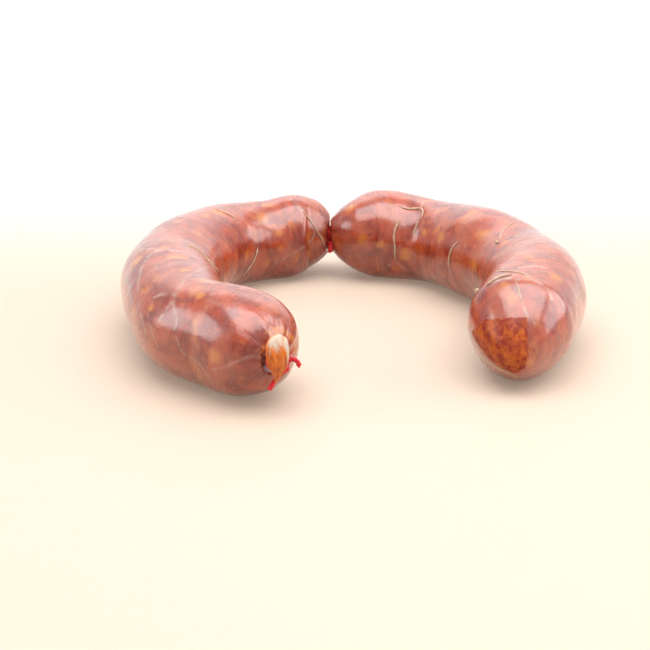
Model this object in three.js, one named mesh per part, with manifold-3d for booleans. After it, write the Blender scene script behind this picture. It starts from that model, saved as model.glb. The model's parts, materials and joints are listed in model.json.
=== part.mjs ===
// A string of two sausage links in one natural casing, lying on a flat surface.
// The casing is twisted and tied with red string between the links, and again at the
// left link's free end, where a tail of casing hangs over the knot.
// Millimetres, +Z up, the links rest on z = 0, the right link towards +X, the tie at the back.
import * as THREE from 'three'
import { mergeVertices } from 'three/addons/utils/BufferGeometryUtils.js'
import Module from 'manifold-3d'

// Where the middle tie stands, how high the casing passes through each tie, and how far the end
// tie sits to the side of its dome's middle
const TIE = { x: -6.7, y: 76.1 }
const MIDDLE_HEIGHT = 19.5
const END_HEIGHT = 19.3
const END_ASIDE = 5.5

// How each link lies: bends of its axis from the tie on, as steps right and back, and its radius
const LEFT_BENDS = [
  [0, 0, 20.5], [-10.5, 2.8, 20], [-26, -0.5, 18], [-48, -13, 19], [-60.5, -37, 19.5], [-66, -68, 19.5],
  [-61, -97.5, 19.5], [-51, -126, 19], [-33, -143, 19.5], [-15.5, -162, 20.5],
]
const RIGHT_BENDS = [
  [0, 0, 20], [11, -0.5, 20], [25, 0, 20], [47.5, -10.5, 18.5], [65, -35, 20],
  [77.5, -63, 19], [79.5, -92.5, 19.5], [71, -120, 19.5], [59.5, -154.5, 18.5],
]

// The soft links settle on a narrow flat strip: height of the axis over the radius
const SETTLE = 0.95

// Domed ends: length of the dome, and its bluntness, where 2 is an ellipse
const LEFT_TIED_DOME = { length: 24, bluntness: 1.7 }
const LEFT_END_DOME = { length: 29, bluntness: 2.1 }
const RIGHT_TIED_DOME = { length: 24, bluntness: 1.6 }
const RIGHT_END_DOME = { length: 25, bluntness: 1.5 }
const RIGHT_END_HEIGHT = 12
const RIGHT_END_ASIDE = -4

// Casing gathered into a tie: its twisted neck, and the dimple that the string draws in
const NECK_RADIUS = 2
const DIMPLE_RADIUS = 4.8
const MIDDLE_DIMPLE_DEPTH = 5.2
const END_DIMPLE_DEPTH = 3.2
const MIDDLE_PRESS = 2.2
const END_STANDOFF = 1.2
const GAP = 0.3

// Unevenness of the filling under the casing, and the pleats round a gathered end
const LUMP_HEIGHT = 0.25
const PLEATS = 9
const MIDDLE_PLEAT_DEPTH = 0.15
const END_PLEAT_DEPTH = 0.2
const PLEAT_REACH = 11

// Red string, wound twice round each neck, with a knot below and beside it
const STRING_RADIUS = 0.8
const TURNS_APART = 1.6
const TURN_STATIONS = 24
const WIND_RADIUS = NECK_RADIUS + GAP + STRING_RADIUS
const KNOT_RADIUS = 1.6
const KNOT_FROM_NECK = 4.9
const KNOT_ANGLE = -0.28 * Math.PI

// The string's cut ends, each from its tip to the knot, as steps sideways, up and outwards
const MIDDLE_CUT_ENDS = [
  [[5.0, -7.6, -0.4], [4.2, -5.6, -0.2]],
  [[7.0, -6.4, 0.5], [5.2, -4.8, 0.3]],
]
const END_CUT_ENDS = [
  [[8.0, -3.4, 2.6], [6.8, -1.2, 2.4], [5.2, -0.6, 1.2], [4.2, -2.2, 0.3]],
  [[-3.6, -9.4, 0.2], [-1.2, -6.9, 0.3], [1.6, -4.9, 0.3]],
]

// Casing tail over the end tie: a drop with its point down, parted into two lobes at the top
const TAIL_RISE = 10
const TAIL_DROP = 7.2
const TAIL_HALF_WIDTH = 5.6
const TAIL_POINT_SHARE = 0.3
const TAIL_ASIDE = 1.9
const TAIL_TOP_ASIDE = 2.2
const TAIL_HALF_THICKNESS = 1
const TAIL_STANDS_OUT = 3.8
const TAIL_TOP_LEAN = 0.026
const TAIL_POINT_LEAN = 0.042
const TAIL_SIDE_LEAN = 0.028
const TAIL_PARTING_DEPTH = 0.8
const TAIL_LOWER_LOBE = 1
const TAIL_FOLD_DEPTH = 0.35

// Fineness of the facets
const SIDES = 36
const RING_STEP = 3.6
const DOME_RINGS = 9
const STRING_SIDES = 6
const KNOT_FACETS = [10, 8]
const TAIL_FACETS = [26, 22]

const UP = new THREE.Vector3(0, 0, 1)
const wasm = await Module()
wasm.setup()

// Joining closed meshes into one
function toSolid(geometry) {
  const bare = geometry.clone()
  bare.deleteAttribute('normal')
  bare.deleteAttribute('uv')
  const merged = mergeVertices(bare, 1e-4)
  const vertProperties = new Float32Array(merged.attributes.position.array)
  const triVerts = new Uint32Array(merged.index.array)
  return new wasm.Manifold(new wasm.Mesh({ numProp: 3, vertProperties, triVerts }))
}

function joined(geometries) {
  const whole = geometries.map(toSolid).reduce((sum, solid) => sum.add(solid))
  const { vertProperties, triVerts } = whole.getMesh()
  const geometry = new THREE.BufferGeometry()
  geometry.setAttribute('position', new THREE.BufferAttribute(vertProperties, 3))
  geometry.setIndex(new THREE.BufferAttribute(triVerts, 1))
  geometry.computeVertexNormals()
  return geometry
}

// Profile of a dome: how far behind its tip the dome reaches a share of its full radius
function domeDepth(dome, share) {
  const rest = 1 - share ** dome.bluntness
  return dome.length * (1 - rest ** (1 / dome.bluntness))
}

// Rings of one end, from the outermost point to the full radius: depth behind the end and share
function endRings(end, radius) {
  const rings = []
  const depthAt = (share) => {
    const dimple = end.gathered ? end.dimple * Math.exp(-((share * radius / DIMPLE_RADIUS) ** 6)) : 0
    return domeDepth(end.dome, share) + end.setBack + dimple
  }
  if (end.gathered) {
    const neck = NECK_RADIUS / radius
    rings.push({ depth: GAP / 2, share: 0 }, { depth: GAP / 2, share: neck })
    for (const share of [neck, 0.17, 0.22, 0.27, 0.32]) rings.push({ depth: depthAt(share), share })
  } else {
    rings.push({ depth: depthAt(0), share: 0 })
  }
  const first = end.gathered ? 2 : 1
  for (let i = first; i <= DOME_RINGS; i++) {
    const share = Math.sin((i / DOME_RINGS) * Math.PI / 2)
    if (!end.gathered || share > 0.36) rings.push({ depth: depthAt(share), share })
  }
  return rings
}

// A link's casing pushed out or in: broad lumps of filling, and pleats near a gathered end
function relief(link, along, length, angle) {
  const lumps = Math.sin(along / 8 + link.seed) * Math.cos(2 * angle + link.seed)
    + Math.sin(along / 5.3 - 2 * angle) * 0.6 + Math.cos(along / 13 + 3 * angle + link.seed) * 0.8
  let height = LUMP_HEIGHT * lumps
  const ends = [[link.start, along], [link.finish, length - along]]
  for (const [end, distance] of ends) {
    const fade = Math.exp(-((distance / PLEAT_REACH) ** 2))
    const pleat = end.pleats * Math.cos(PLEATS * angle + distance / 6)
    height = height * (1 - fade) + (end.gathered ? pleat * fade : 0)
  }
  return height
}

// Keeps a point of a link on its own side of the middle tie, clear of the neighbour and the knot
function keepAside(point, side) {
  const fromKnot = Math.hypot(point.y - middleKnot.y, point.z - middleKnot.z)
  const knotRoom = (KNOT_RADIUS + GAP) * Math.exp(-((fromKnot / (2.6 * KNOT_RADIUS)) ** 4))
  const least = GAP / 2 + knotRoom
  if (side * (point.x - TIE.x) < least) point.x = TIE.x + side * least
}

function linkGeometry(link) {
  const toPlace = ([right, back, radius]) => new THREE.Vector3(TIE.x + right, TIE.y + back, radius)
  const bends = link.bends.map(toPlace)
  const axis = new THREE.CatmullRomCurve3(bends, false, 'centripetal')
  const length = axis.getLength()
  const startRings = endRings(link.start, bends[0].z)
  const finishRings = endRings(link.finish, bends.at(-1).z)

  const rings = startRings.map(({ depth, share }) => ({ along: depth, share, end: link.start }))
  const bodyStart = startRings.at(-1).depth
  const bodyEnd = length - finishRings.at(-1).depth
  const steps = Math.round((bodyEnd - bodyStart) / RING_STEP)
  for (let i = 1; i < steps; i++) {
    const along = bodyStart + (bodyEnd - bodyStart) * i / steps
    rings.push({ along, share: 1, end: along < length / 2 ? link.start : link.finish })
  }
  for (const { depth, share } of finishRings.reverse()) {
    rings.push({ along: length - depth, share, end: link.finish })
  }

  // Centre, size and directions of each ring
  for (const ring of rings) {
    const onAxis = THREE.MathUtils.clamp(ring.along / length, 0, 1)
    const spot = axis.getPointAt(onAxis)
    const heading = axis.getTangentAt(onAxis).setZ(0).normalize()
    const neckShare = ring.end.gathered ? 1.2 * NECK_RADIUS / spot.z : 0
    const outer = Math.max(ring.share - neckShare, 0) / (1 - neckShare)
    const height = THREE.MathUtils.lerp(ring.end.height, spot.z * SETTLE, outer)
    ring.radius = spot.z * ring.share
    ring.heading = heading
    ring.sideways = new THREE.Vector3().crossVectors(heading, UP)
    ring.centre = new THREE.Vector3(spot.x, spot.y, height)
    ring.centre.addScaledVector(heading, ring.along - onAxis * length)
    ring.centre.addScaledVector(ring.sideways, ring.end.aside * (1 - outer))
  }

  // The first and last rings are points, the others are closed loops of facets
  const points = []
  rings.forEach((ring, i) => {
    if (ring.share === 0) {
      points.push(ring.centre.clone())
      return
    }
    const before = rings[Math.max(i - 1, 0)]
    const after = rings[Math.min(i + 1, rings.length - 1)]
    const rise = after.radius - before.radius
    const run = after.along - before.along
    const slope = Math.hypot(rise, run)
    const isNeck = ring.radius < NECK_RADIUS + 0.01
    for (let k = 0; k < SIDES; k++) {
      const angle = (k / SIDES) * 2 * Math.PI
      const height = isNeck ? 0 : relief(link, ring.along, length, angle)
      const radius = ring.radius + height * Math.abs(run) / slope
      const point = ring.centre.clone()
      point.addScaledVector(ring.heading, -height * rise / slope)
      point.addScaledVector(ring.sideways, radius * Math.cos(angle))
      point.addScaledVector(UP, radius * Math.sin(angle))
      keepAside(point, link.side)
      point.z = Math.max(point.z, 0)
      points.push(point)
    }
  })

  const index = []
  const last = points.length - 1
  const loops = rings.length - 2
  const at = (loop, k) => 1 + loop * SIDES + (k % SIDES)
  for (let k = 0; k < SIDES; k++) {
    index.push(0, at(0, k), at(0, k + 1))
    index.push(last, at(loops - 1, k + 1), at(loops - 1, k))
    for (let loop = 0; loop < loops - 1; loop++) {
      index.push(at(loop, k), at(loop + 1, k), at(loop + 1, k + 1))
      index.push(at(loop, k), at(loop + 1, k + 1), at(loop, k + 1))
    }
  }
  const geometry = new THREE.BufferGeometry().setFromPoints(points)
  geometry.setIndex(index)
  geometry.computeVertexNormals()
  return { geometry, axis }
}

// A place on a tie: steps to the side, up, and outwards along the neck
function inFrame(frame, side, up, out) {
  return frame.origin.clone()
    .addScaledVector(frame.side, side).addScaledVector(UP, up).addScaledVector(frame.out, out)
}

// The knot's middle, in the plane of the winding
function knotPlace(frame) {
  const side = KNOT_FROM_NECK * Math.cos(KNOT_ANGLE)
  return inFrame(frame, side, KNOT_FROM_NECK * Math.sin(KNOT_ANGLE), 0)
}

// A stretch of string through the given places
function stringAlong(places) {
  return new THREE.ExtrudeGeometry(new THREE.Shape().absarc(0, 0, STRING_RADIUS, 0, 2 * Math.PI), {
    steps: Math.round(places.length * 1.5),
    curveSegments: STRING_SIDES / 2,
    extrudePath: new THREE.CatmullRomCurve3(places),
  })
}

// One closed turn of string round the neck, a step outwards from the tie's middle
function turnGeometry(frame, out) {
  const turn = new THREE.TorusGeometry(WIND_RADIUS, STRING_RADIUS, STRING_SIDES, TURN_STATIONS)
  turn.applyQuaternion(new THREE.Quaternion().setFromUnitVectors(UP, frame.out))
  turn.translate(...inFrame(frame, 0, 0, out))
  return turn
}

// String round a neck: two turns side by side, a knot against them, and two cut ends
function tieGeometry(frame, cutEnds) {
  const knot = knotPlace(frame)
  const turns = [-TURNS_APART / 2, TURNS_APART / 2].map((out) => turnGeometry(frame, out))
  const ends = cutEnds.map((steps) => stringAlong([...steps.map((step) => inFrame(frame, ...step)), knot]))
  const ball = new THREE.SphereGeometry(KNOT_RADIUS, ...KNOT_FACETS)
  ball.translate(knot.x, knot.y, knot.z)
  return joined([...turns, ...ends, ball])
}

// Casing tail: a rounded flap drawn from a ball, on a stalk that runs back through the string
function tailGeometry(frame) {
  const flap = new THREE.SphereGeometry(1, ...TAIL_FACETS)
  const place = flap.attributes.position
  for (let i = 0; i < place.count; i++) {
    const across = place.getX(i)
    const rise = place.getY(i)
    const through = place.getZ(i)
    const upper = THREE.MathUtils.smoothstep(rise, -1, 0.6)
    const halfWidth = TAIL_HALF_WIDTH * THREE.MathUtils.lerp(TAIL_POINT_SHARE, 1, upper)
    const parting = Math.exp(-(((across - 0.3) / 0.17) ** 2)) * THREE.MathUtils.smoothstep(rise, 0.1, 0.9)
    const fold = TAIL_FOLD_DEPTH * Math.cos(across * 9) * Math.abs(through) * (1 - upper * 0.4)
    const local = across * halfWidth
    const side = local - TAIL_ASIDE + TAIL_TOP_ASIDE * Math.max(rise, 0) ** 2
    const blunt = rise > 0 ? TAIL_RISE * (1.4 * rise - 0.4 * rise ** 3) : TAIL_DROP * rise
    const lower = THREE.MathUtils.smoothstep(across, 0.2, 0.55) * THREE.MathUtils.smoothstep(rise, 0, 0.8)
    const up = blunt - TAIL_PARTING_DEPTH * parting - TAIL_LOWER_LOBE * lower
    const lean = (rise > 0 ? TAIL_TOP_LEAN : TAIL_POINT_LEAN) * up * up + TAIL_SIDE_LEAN * local * local
    const thickness = TAIL_HALF_THICKNESS * (0.75 + 0.7 * upper) - 0.6 * parting
    const spot = inFrame(frame, side, up, TAIL_STANDS_OUT - lean + through * thickness + fold)
    place.setXYZ(i, spot.x, spot.y, spot.z)
  }
  const stalkLength = TAIL_STANDS_OUT - GAP / 2
  const stalk = new THREE.CylinderGeometry(NECK_RADIUS, NECK_RADIUS, stalkLength, 16)
  stalk.translate(0, stalkLength / 2 + GAP / 2, 0)
  stalk.applyMatrix4(new THREE.Matrix4().makeBasis(frame.side, frame.out, new THREE.Vector3(0, 0, -1)))
  stalk.translate(...frame.origin)
  return joined([flap, stalk])
}

// Middle tie: looking along +X, with the knot below and in front, in the groove between the domes
const middleFrame = {
  origin: new THREE.Vector3(TIE.x, TIE.y, MIDDLE_HEIGHT),
  side: new THREE.Vector3(0, -1, 0),
  out: new THREE.Vector3(1, 0, 0),
}
const middleKnot = knotPlace(middleFrame)

const tiedAt = (height, dome, rest) => ({ height, dome, aside: 0, gathered: true, ...rest })
const middleTie = { setBack: -MIDDLE_PRESS, dimple: MIDDLE_DIMPLE_DEPTH, pleats: MIDDLE_PLEAT_DEPTH }
const endTie = {
  setBack: END_STANDOFF,
  aside: END_ASIDE,
  dimple: END_DIMPLE_DEPTH,
  pleats: END_PLEAT_DEPTH,
}
const leftLink = linkGeometry({
  bends: LEFT_BENDS,
  side: -1,
  seed: 0.7,
  start: tiedAt(MIDDLE_HEIGHT, LEFT_TIED_DOME, middleTie),
  finish: tiedAt(END_HEIGHT, LEFT_END_DOME, endTie),
})
const rightLink = linkGeometry({
  bends: RIGHT_BENDS,
  side: 1,
  seed: 2.9,
  start: tiedAt(MIDDLE_HEIGHT, RIGHT_TIED_DOME, middleTie),
  finish: tiedAt(RIGHT_END_HEIGHT, RIGHT_END_DOME, { setBack: 0, aside: RIGHT_END_ASIDE, gathered: false }),
})

// End tie: at the left link's free end, looking out along the link
const endHeading = leftLink.axis.getTangentAt(1).setZ(0).normalize()
const endSide = new THREE.Vector3().crossVectors(UP, endHeading)
const endSpot = leftLink.axis.getPointAt(1).setZ(END_HEIGHT)
const endFrame = {
  origin: endSpot.addScaledVector(endSide, -END_ASIDE),
  side: endSide,
  out: endHeading,
}

const CASING = { color: 0xa8452f, roughness: 0.28 }
const STRING = { color: 0xc01826, roughness: 0.85 }
const TAIL = { color: 0xe9b98a, roughness: 0.35 }

function piece(name, geometry, look) {
  const material = new THREE.MeshStandardMaterial({ metalness: 0, ...look })
  const mesh = new THREE.Mesh(geometry, material)
  mesh.name = name
  return mesh
}

const group = new THREE.Group()
group.add(piece('link_left', leftLink.geometry, CASING))
group.add(piece('link_right', rightLink.geometry, CASING))
group.add(piece('tie_middle', tieGeometry(middleFrame, MIDDLE_CUT_ENDS), STRING))
group.add(piece('tie_end', tieGeometry(endFrame, END_CUT_ENDS), STRING))
group.add(piece('casing_tail', tailGeometry(endFrame), TAIL))

export default group
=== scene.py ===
# %% [markdown]
# # A string of sausage links
#
# Two thick links of coarse, paprika-red sausage lie in one natural casing, bent like a horseshoe.
# The casing is twisted and tied with red string between them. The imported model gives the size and
# place of every piece. Here each one gets the fine surface and finish of the real thing, and takes
# the place of its plain solid.

# %% Open the frame
import itertools
import json
import math

import bpy
import numpy as np
from mathutils import Matrix, Vector
from mathutils.kdtree import KDTree

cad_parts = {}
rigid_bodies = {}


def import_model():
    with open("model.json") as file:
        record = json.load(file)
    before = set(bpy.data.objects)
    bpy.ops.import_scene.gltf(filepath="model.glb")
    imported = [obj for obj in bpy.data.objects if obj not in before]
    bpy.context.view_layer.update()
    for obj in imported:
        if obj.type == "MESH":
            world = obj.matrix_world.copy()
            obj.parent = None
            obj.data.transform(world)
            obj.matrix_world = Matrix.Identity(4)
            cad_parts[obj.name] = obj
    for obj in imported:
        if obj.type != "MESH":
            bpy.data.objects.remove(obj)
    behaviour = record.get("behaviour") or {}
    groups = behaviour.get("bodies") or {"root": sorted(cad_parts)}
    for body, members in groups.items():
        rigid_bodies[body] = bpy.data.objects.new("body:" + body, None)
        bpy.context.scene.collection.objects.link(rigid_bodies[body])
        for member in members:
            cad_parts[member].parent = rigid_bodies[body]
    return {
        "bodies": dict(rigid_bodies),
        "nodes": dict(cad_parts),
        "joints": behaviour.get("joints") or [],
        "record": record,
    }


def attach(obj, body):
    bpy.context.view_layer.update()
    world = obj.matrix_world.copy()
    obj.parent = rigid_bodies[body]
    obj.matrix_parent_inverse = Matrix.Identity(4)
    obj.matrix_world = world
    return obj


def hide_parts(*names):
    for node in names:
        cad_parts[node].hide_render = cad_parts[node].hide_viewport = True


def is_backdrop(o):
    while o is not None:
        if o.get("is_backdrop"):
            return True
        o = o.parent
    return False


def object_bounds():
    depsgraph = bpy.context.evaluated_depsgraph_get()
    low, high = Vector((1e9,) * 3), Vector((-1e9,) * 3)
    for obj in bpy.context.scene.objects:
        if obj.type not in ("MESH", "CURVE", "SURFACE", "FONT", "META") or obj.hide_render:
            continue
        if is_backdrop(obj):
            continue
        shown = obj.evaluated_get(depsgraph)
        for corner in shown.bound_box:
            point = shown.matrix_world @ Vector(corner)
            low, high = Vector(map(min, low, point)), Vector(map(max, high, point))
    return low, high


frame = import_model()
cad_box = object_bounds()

print("solids in the frame:", sorted(frame["nodes"]))

# %% [markdown]
# ## The lie of the links
#
# The axis of a bent link could be drawn by hand as a Bezier curve. A smooth curve through a few
# places is simpler to read and change: each place is a step right and back from the tie, and the
# link's radius there, in millimetres. They are the sizes that the solids were made from.

# %% Where each link bends
MM = 0.001
TIE = np.array([-6.7, 76.1])
LEFT_BENDS = [
    (0, 0, 20.5), (-10.5, 2.8, 20), (-26, -0.5, 18), (-48, -13, 19), (-60.5, -37, 19.5),
    (-66, -68, 19.5), (-61, -97.5, 19.5), (-51, -126, 19), (-33, -143, 19.5), (-15.5, -162, 20.5),
]
RIGHT_BENDS = [
    (0, 0, 20), (11, -0.5, 20), (25, 0, 20), (47.5, -10.5, 18.5), (65, -35, 20),
    (77.5, -63, 19), (79.5, -92.5, 19.5), (71, -120, 19.5), (59.5, -154.5, 18.5),
]


def smooth_through(places, steps=60):
    """A smooth curve through the places, evenly spaced by its own root distances."""
    p = np.array(places, float)
    p = np.vstack([2 * p[0] - p[1], p, 2 * p[-1] - p[-2]])
    t = np.linspace(0, 1, steps, endpoint=False)[:, None]
    spans = []
    for a, b, c, d in zip(p, p[1:], p[2:], p[3:]):
        ab, bc, cd = (np.linalg.norm(v) ** 0.5 for v in (b - a, c - b, d - c))
        leave = ((b - a) / ab - (c - a) / (ab + bc) + (c - b) / bc) * bc
        arrive = ((c - b) / bc - (d - b) / (bc + cd) + (d - c) / cd) * bc
        spans.append(
            (2 * t**3 - 3 * t**2 + 1) * b + (t**3 - 2 * t**2 + t) * leave
            + (3 * t**2 - 2 * t**3) * c + (t**3 - t**2) * arrive
        )
    return np.vstack([*spans, p[-2:-1]])


def axis_of(bends):
    """Distance along the axis, with the plan place and radius at each distance."""
    line = smooth_through(bends)
    line[:, :2] += TIE
    along = np.concatenate([[0], np.cumsum(np.linalg.norm(np.diff(line, axis=0), axis=1))])
    return along, line


for side, bends in (("left", LEFT_BENDS), ("right", RIGHT_BENDS)):
    print(side, "link's axis is", round(axis_of(bends)[0][-1], 1), "mm long")

# %% [markdown]
# ## The form of an end
#
# A filled casing closes in a dome, blunter or more pointed as it was filled. Where it is tied, the
# string draws a small dimple into the dome and the casing runs on as a thin twisted neck. Sculpting
# would do it, but a formula keeps every end in step with its solid: the depth behind the tip at
# each share of the full radius.

# %% Domes, dimples and necks
GAP = 0.3
NECK_RADIUS = 2
DIMPLE_RADIUS = 4.8
DIMPLE_STEEPNESS = 6
SETTLE = 0.95
MIDDLE_END = {
    "height": 19.5, "aside": 0, "set_back": -2.2, "gathered": True, "dimple": 5.2, "pleats": 0.15,
}
LEFT_START = {**MIDDLE_END, "length": 24, "bluntness": 1.7}
RIGHT_START = {**MIDDLE_END, "length": 24, "bluntness": 1.6}
LEFT_FINISH = {
    "height": 19.3, "aside": 5.5, "set_back": 1.2, "gathered": True, "dimple": 3.2, "pleats": 0.2,
    "length": 29, "bluntness": 2.1,
}
RIGHT_FINISH = {
    "height": 12, "aside": -4, "set_back": 0, "gathered": False, "length": 25, "bluntness": 1.5,
}
DOME_RINGS = 44
FIRST_SHARE = 0.02


def end_rings(end, radius):
    """Rings from the tip to the full radius, as depth behind the tip and share of the radius."""
    first = NECK_RADIUS / radius if end["gathered"] else FIRST_SHARE
    share = np.sin(np.linspace(math.asin(first), math.pi / 2, DOME_RINGS))
    rest = np.clip(1 - share ** end["bluntness"], 0, 1)
    depth = end["length"] * (1 - rest ** (1 / end["bluntness"])) + end["set_back"]
    if not end["gathered"]:
        return np.append(end["set_back"], depth), np.append(0, share)
    depth += end["dimple"] * np.exp(-((share * radius / DIMPLE_RADIUS) ** DIMPLE_STEEPNESS))
    neck = [GAP / 2, GAP / 2, (GAP / 2 + depth[0]) / 2]
    return np.append(neck, depth), np.append([0, first, first], share)


print("rings on a tied end:", len(end_rings(LEFT_START, 20)[0]))

# %% [markdown]
# ## The unevenness under the casing
#
# Coarse filling makes broad lumps, and a gathered casing falls into pleats that run to the tie. The
# broad forms repeat those of the solids. Finer bumps of meat and fat and finer pleats are added
# here, from smooth noise and from waves round the link. A displace modifier with a texture would
# give bumps too, but not pleats that all meet at the tie.

# %% Lumps, bumps and pleats
LUMP_HEIGHT = 0.25
MIDDLE_WAVE, SHORT_WAVE, LONG_WAVE = 8, 5.3, 13
SHORT_SHARE, LONG_SHARE = 0.6, 0.8
PLEATS, FINE_PLEATS, FINEST_PLEATS = 9, 17, 29
FINE_SHARE, FINEST_SHARE = 0.3, 0.1
PLEAT_REACH = 11
PLEAT_TWIST = 6
MEAT_BUMPS = ((0.12, 6.0, 11), (0.03, 2.6, 12))
LATTICE = 32


def soft_noise(places, grain, seed):
    """Smooth bumps between -1 and 1, about one to every grain millimetres."""
    lattice = np.random.default_rng(seed).uniform(-1, 1, (LATTICE, LATTICE, LATTICE))
    cell = np.floor(places / grain).astype(int)
    part = places / grain - cell
    part = part * part * (3 - 2 * part)
    total = np.zeros(places.shape[:-1])
    for corner in itertools.product((0, 1), repeat=3):
        weight = np.prod(np.where(corner, part, 1 - part), axis=-1)
        i, j, k = np.moveaxis((cell + corner) % LATTICE, -1, 0)
        total += weight * lattice[i, j, k]
    return total


def relief(start, finish, seed, along, length, angle, straight):
    """Height of the surface over its plain form, in millimetres."""
    lumps = np.sin(along / MIDDLE_WAVE + seed) * np.cos(2 * angle + seed)
    lumps = lumps + SHORT_SHARE * np.sin(along / SHORT_WAVE - 2 * angle)
    lumps = lumps + LONG_SHARE * np.cos(along / LONG_WAVE + 3 * angle + seed)
    height = LUMP_HEIGHT * lumps
    for end, distance in ((start, along), (finish, length - along)):
        fade = np.exp(-((distance / PLEAT_REACH) ** 2))
        height = height * (1 - fade)
        if end["gathered"]:
            fine = np.cos(FINE_PLEATS * angle + 2 * distance / PLEAT_TWIST + seed)
            pleat = np.cos(PLEATS * angle + distance / PLEAT_TWIST) + FINE_SHARE * fine
            pleat = pleat + FINEST_SHARE * np.cos(FINEST_PLEATS * angle)
            height = height + end["pleats"] * pleat * fade
    return height + sum(tall * soft_noise(straight, grain, at) for tall, grain, at in MEAT_BUMPS)


print("bumps in the filling are up to", MEAT_BUMPS[0][0], "mm high")

# %% [markdown]
# ## Room for the knot
#
# The two links press on each other where they are tied, and the knot presses on both. Cutting the
# pieces with a boolean would leave hard edges. It is simpler to push the points of each link back
# to its own side, a little further round the knot.

# %% Keep the links apart at the tie
KNOT_RADIUS = 1.6
KNOT_FROM_NECK = 4.9
KNOT_ANGLE = -0.28 * math.pi
KNOT_SIDE, KNOT_UP = (KNOT_FROM_NECK * part(KNOT_ANGLE) for part in (math.cos, math.sin))
KNOT_ROOM = 2.6
MIDDLE_KNOT = (TIE[1] - KNOT_SIDE, MIDDLE_END["height"] + KNOT_UP)


def keep_aside(points, side):
    """Keeps a link on its own side of the middle tie, clear of its neighbour and the knot."""
    from_knot = np.hypot(points[..., 1] - MIDDLE_KNOT[0], points[..., 2] - MIDDLE_KNOT[1])
    least = GAP / 2 + (KNOT_RADIUS + GAP) * np.exp(-((from_knot / (KNOT_ROOM * KNOT_RADIUS)) ** 4))
    points[..., 0] = TIE[0] + side * np.maximum(side * (points[..., 0] - TIE[0]), least)


print("the middle knot is", round(MIDDLE_KNOT[1], 1), "mm above the floor")

# %% [markdown]
# ## A link's surface
#
# The skin is laid out as a grid: rings across the axis, and points round each ring. This gives
# even faces, and every point knows how far along and how far round it lies, which the finish uses
# for grain and fibres that follow the bent link. The two links take their patterns from places
# well apart, so that they aren't twins. The grid is flattened on the floor, where a soft link
# settles.

# %% Rings along a bent link
RING_STEP = 0.62


def rings_along(bends, start, finish):
    """Each ring's distance along, share of the radius, full radius, middle and heading."""
    table, line = axis_of(bends)
    length = table[-1]
    depth_a, share_a = end_rings(start, line[0, 2])
    depth_b, share_b = end_rings(finish, line[-1, 2])
    body_length = length - depth_a[-1] - depth_b[-1]
    body = np.linspace(depth_a[-1], length - depth_b[-1], round(body_length / RING_STEP))
    along = np.concatenate([depth_a, body[1:-1], length - depth_b[::-1]])
    share = np.concatenate([share_a, np.ones(len(body) - 2), share_b[::-1]])
    on_axis = np.clip(along, 0, length)
    middle, ahead = (
        np.stack([np.interp(on_axis, table, values[:, k]) for k in (0, 1)], -1)
        for values in (line, np.gradient(line, table, axis=0))
    )
    ahead /= np.linalg.norm(ahead, axis=1)[:, None]
    full = np.interp(on_axis, table, line[:, 2])
    return along, share, full, middle + ahead * (along - on_axis)[:, None], ahead


print("rings on the left link:", len(rings_along(LEFT_BENDS, LEFT_START, LEFT_FINISH)[0]))

# %% Lay out a link as a grid of points
SIDES = 198
TEXTURE_SHIFT = 400
NECK_ROOM = 1.2
HAIR = 0.01


def lay_out(bends, start, finish, side, seed):
    """The link's grid of points, with each point's place in the straightened link."""
    along, share, full, plan, ahead = rings_along(bends, start, finish)
    table, line = axis_of(bends)
    length = table[-1]
    sideways = np.stack([ahead[:, 1], -ahead[:, 0]], -1)

    # Near an end, the middle of each ring slides towards the tie's own place
    nearer = [start if place < length / 2 else finish for place in along]
    gathered, aside, height_of_end = (
        np.array([end[key] for end in nearer]) for key in ("gathered", "aside", "height")
    )
    neck = np.where(gathered, NECK_ROOM * NECK_RADIUS / full, 0)
    outer = np.clip(share - neck, 0, None) / (1 - neck)
    plan = plan + sideways * (aside * (1 - outer))[:, None]
    level = height_of_end * (1 - outer) + full * SETTLE * outer

    # The relief pushes each point squarely out of the link's outline
    radius = full * share
    rise, run = np.gradient(radius), np.gradient(along)
    slope = np.hypot(rise, run)
    angle = np.linspace(0, 2 * math.pi, SIDES, endpoint=False)
    round_, up = np.cos(angle), np.sin(angle)
    grid_along = np.broadcast_to(along[:, None], (len(along), SIDES))
    straight = np.stack([grid_along, radius[:, None] * round_, radius[:, None] * up], -1)
    height = relief(start, finish, seed, grid_along, length, angle[None, :], straight)
    height[radius < NECK_RADIUS + HAIR] = 0
    reach = radius[:, None] + height * (np.abs(run) / slope)[:, None]
    forward = -height * (rise / slope)[:, None]
    points = np.empty((len(along), SIDES, 3))
    for k in (0, 1):
        onward = plan[:, None, k] + ahead[:, None, k] * forward
        points[..., k] = onward + sideways[:, None, k] * reach * round_
    points[..., 2] = level[:, None] + reach * up
    keep_aside(points, side)
    points[..., 2] = np.maximum(points[..., 2], 0)
    straight[..., 0] += TEXTURE_SHIFT * side
    from_tip = np.minimum(grid_along, length - grid_along)
    return {
        "points": points, "straight": straight, "from_tip": from_tip,
        "ahead": ahead[-1], "end": line[-1, :2],
    }


left = lay_out(LEFT_BENDS, LEFT_START, LEFT_FINISH, -1, 0.7)
right = lay_out(RIGHT_BENDS, RIGHT_START, RIGHT_FINISH, 1, 2.9)
print("points in the grids:", left["points"].shape, right["points"].shape)

# %% [markdown]
# ## The camera
#
# It is made early, because a few small things are found by where they show in the picture: the
# veins, the spots, the loose threads and the exposed patch on the right-hand tip, which is partly a
# painted dark reflection. It stands half a metre off, looks down by about nineteen degrees, and has
# a lens a little longer than normal.

# %% Set up the camera
PICTURE = 650
FOCAL_PIXELS = 1288
SENSOR = 36.0
CAMERA_PLACE = Vector((-9.7, -496.7, 170.6)) * MM
CAMERA_TILT = math.radians(90 - 18.84)
CAMERA_ROLL = math.radians(-0.8)

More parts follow.
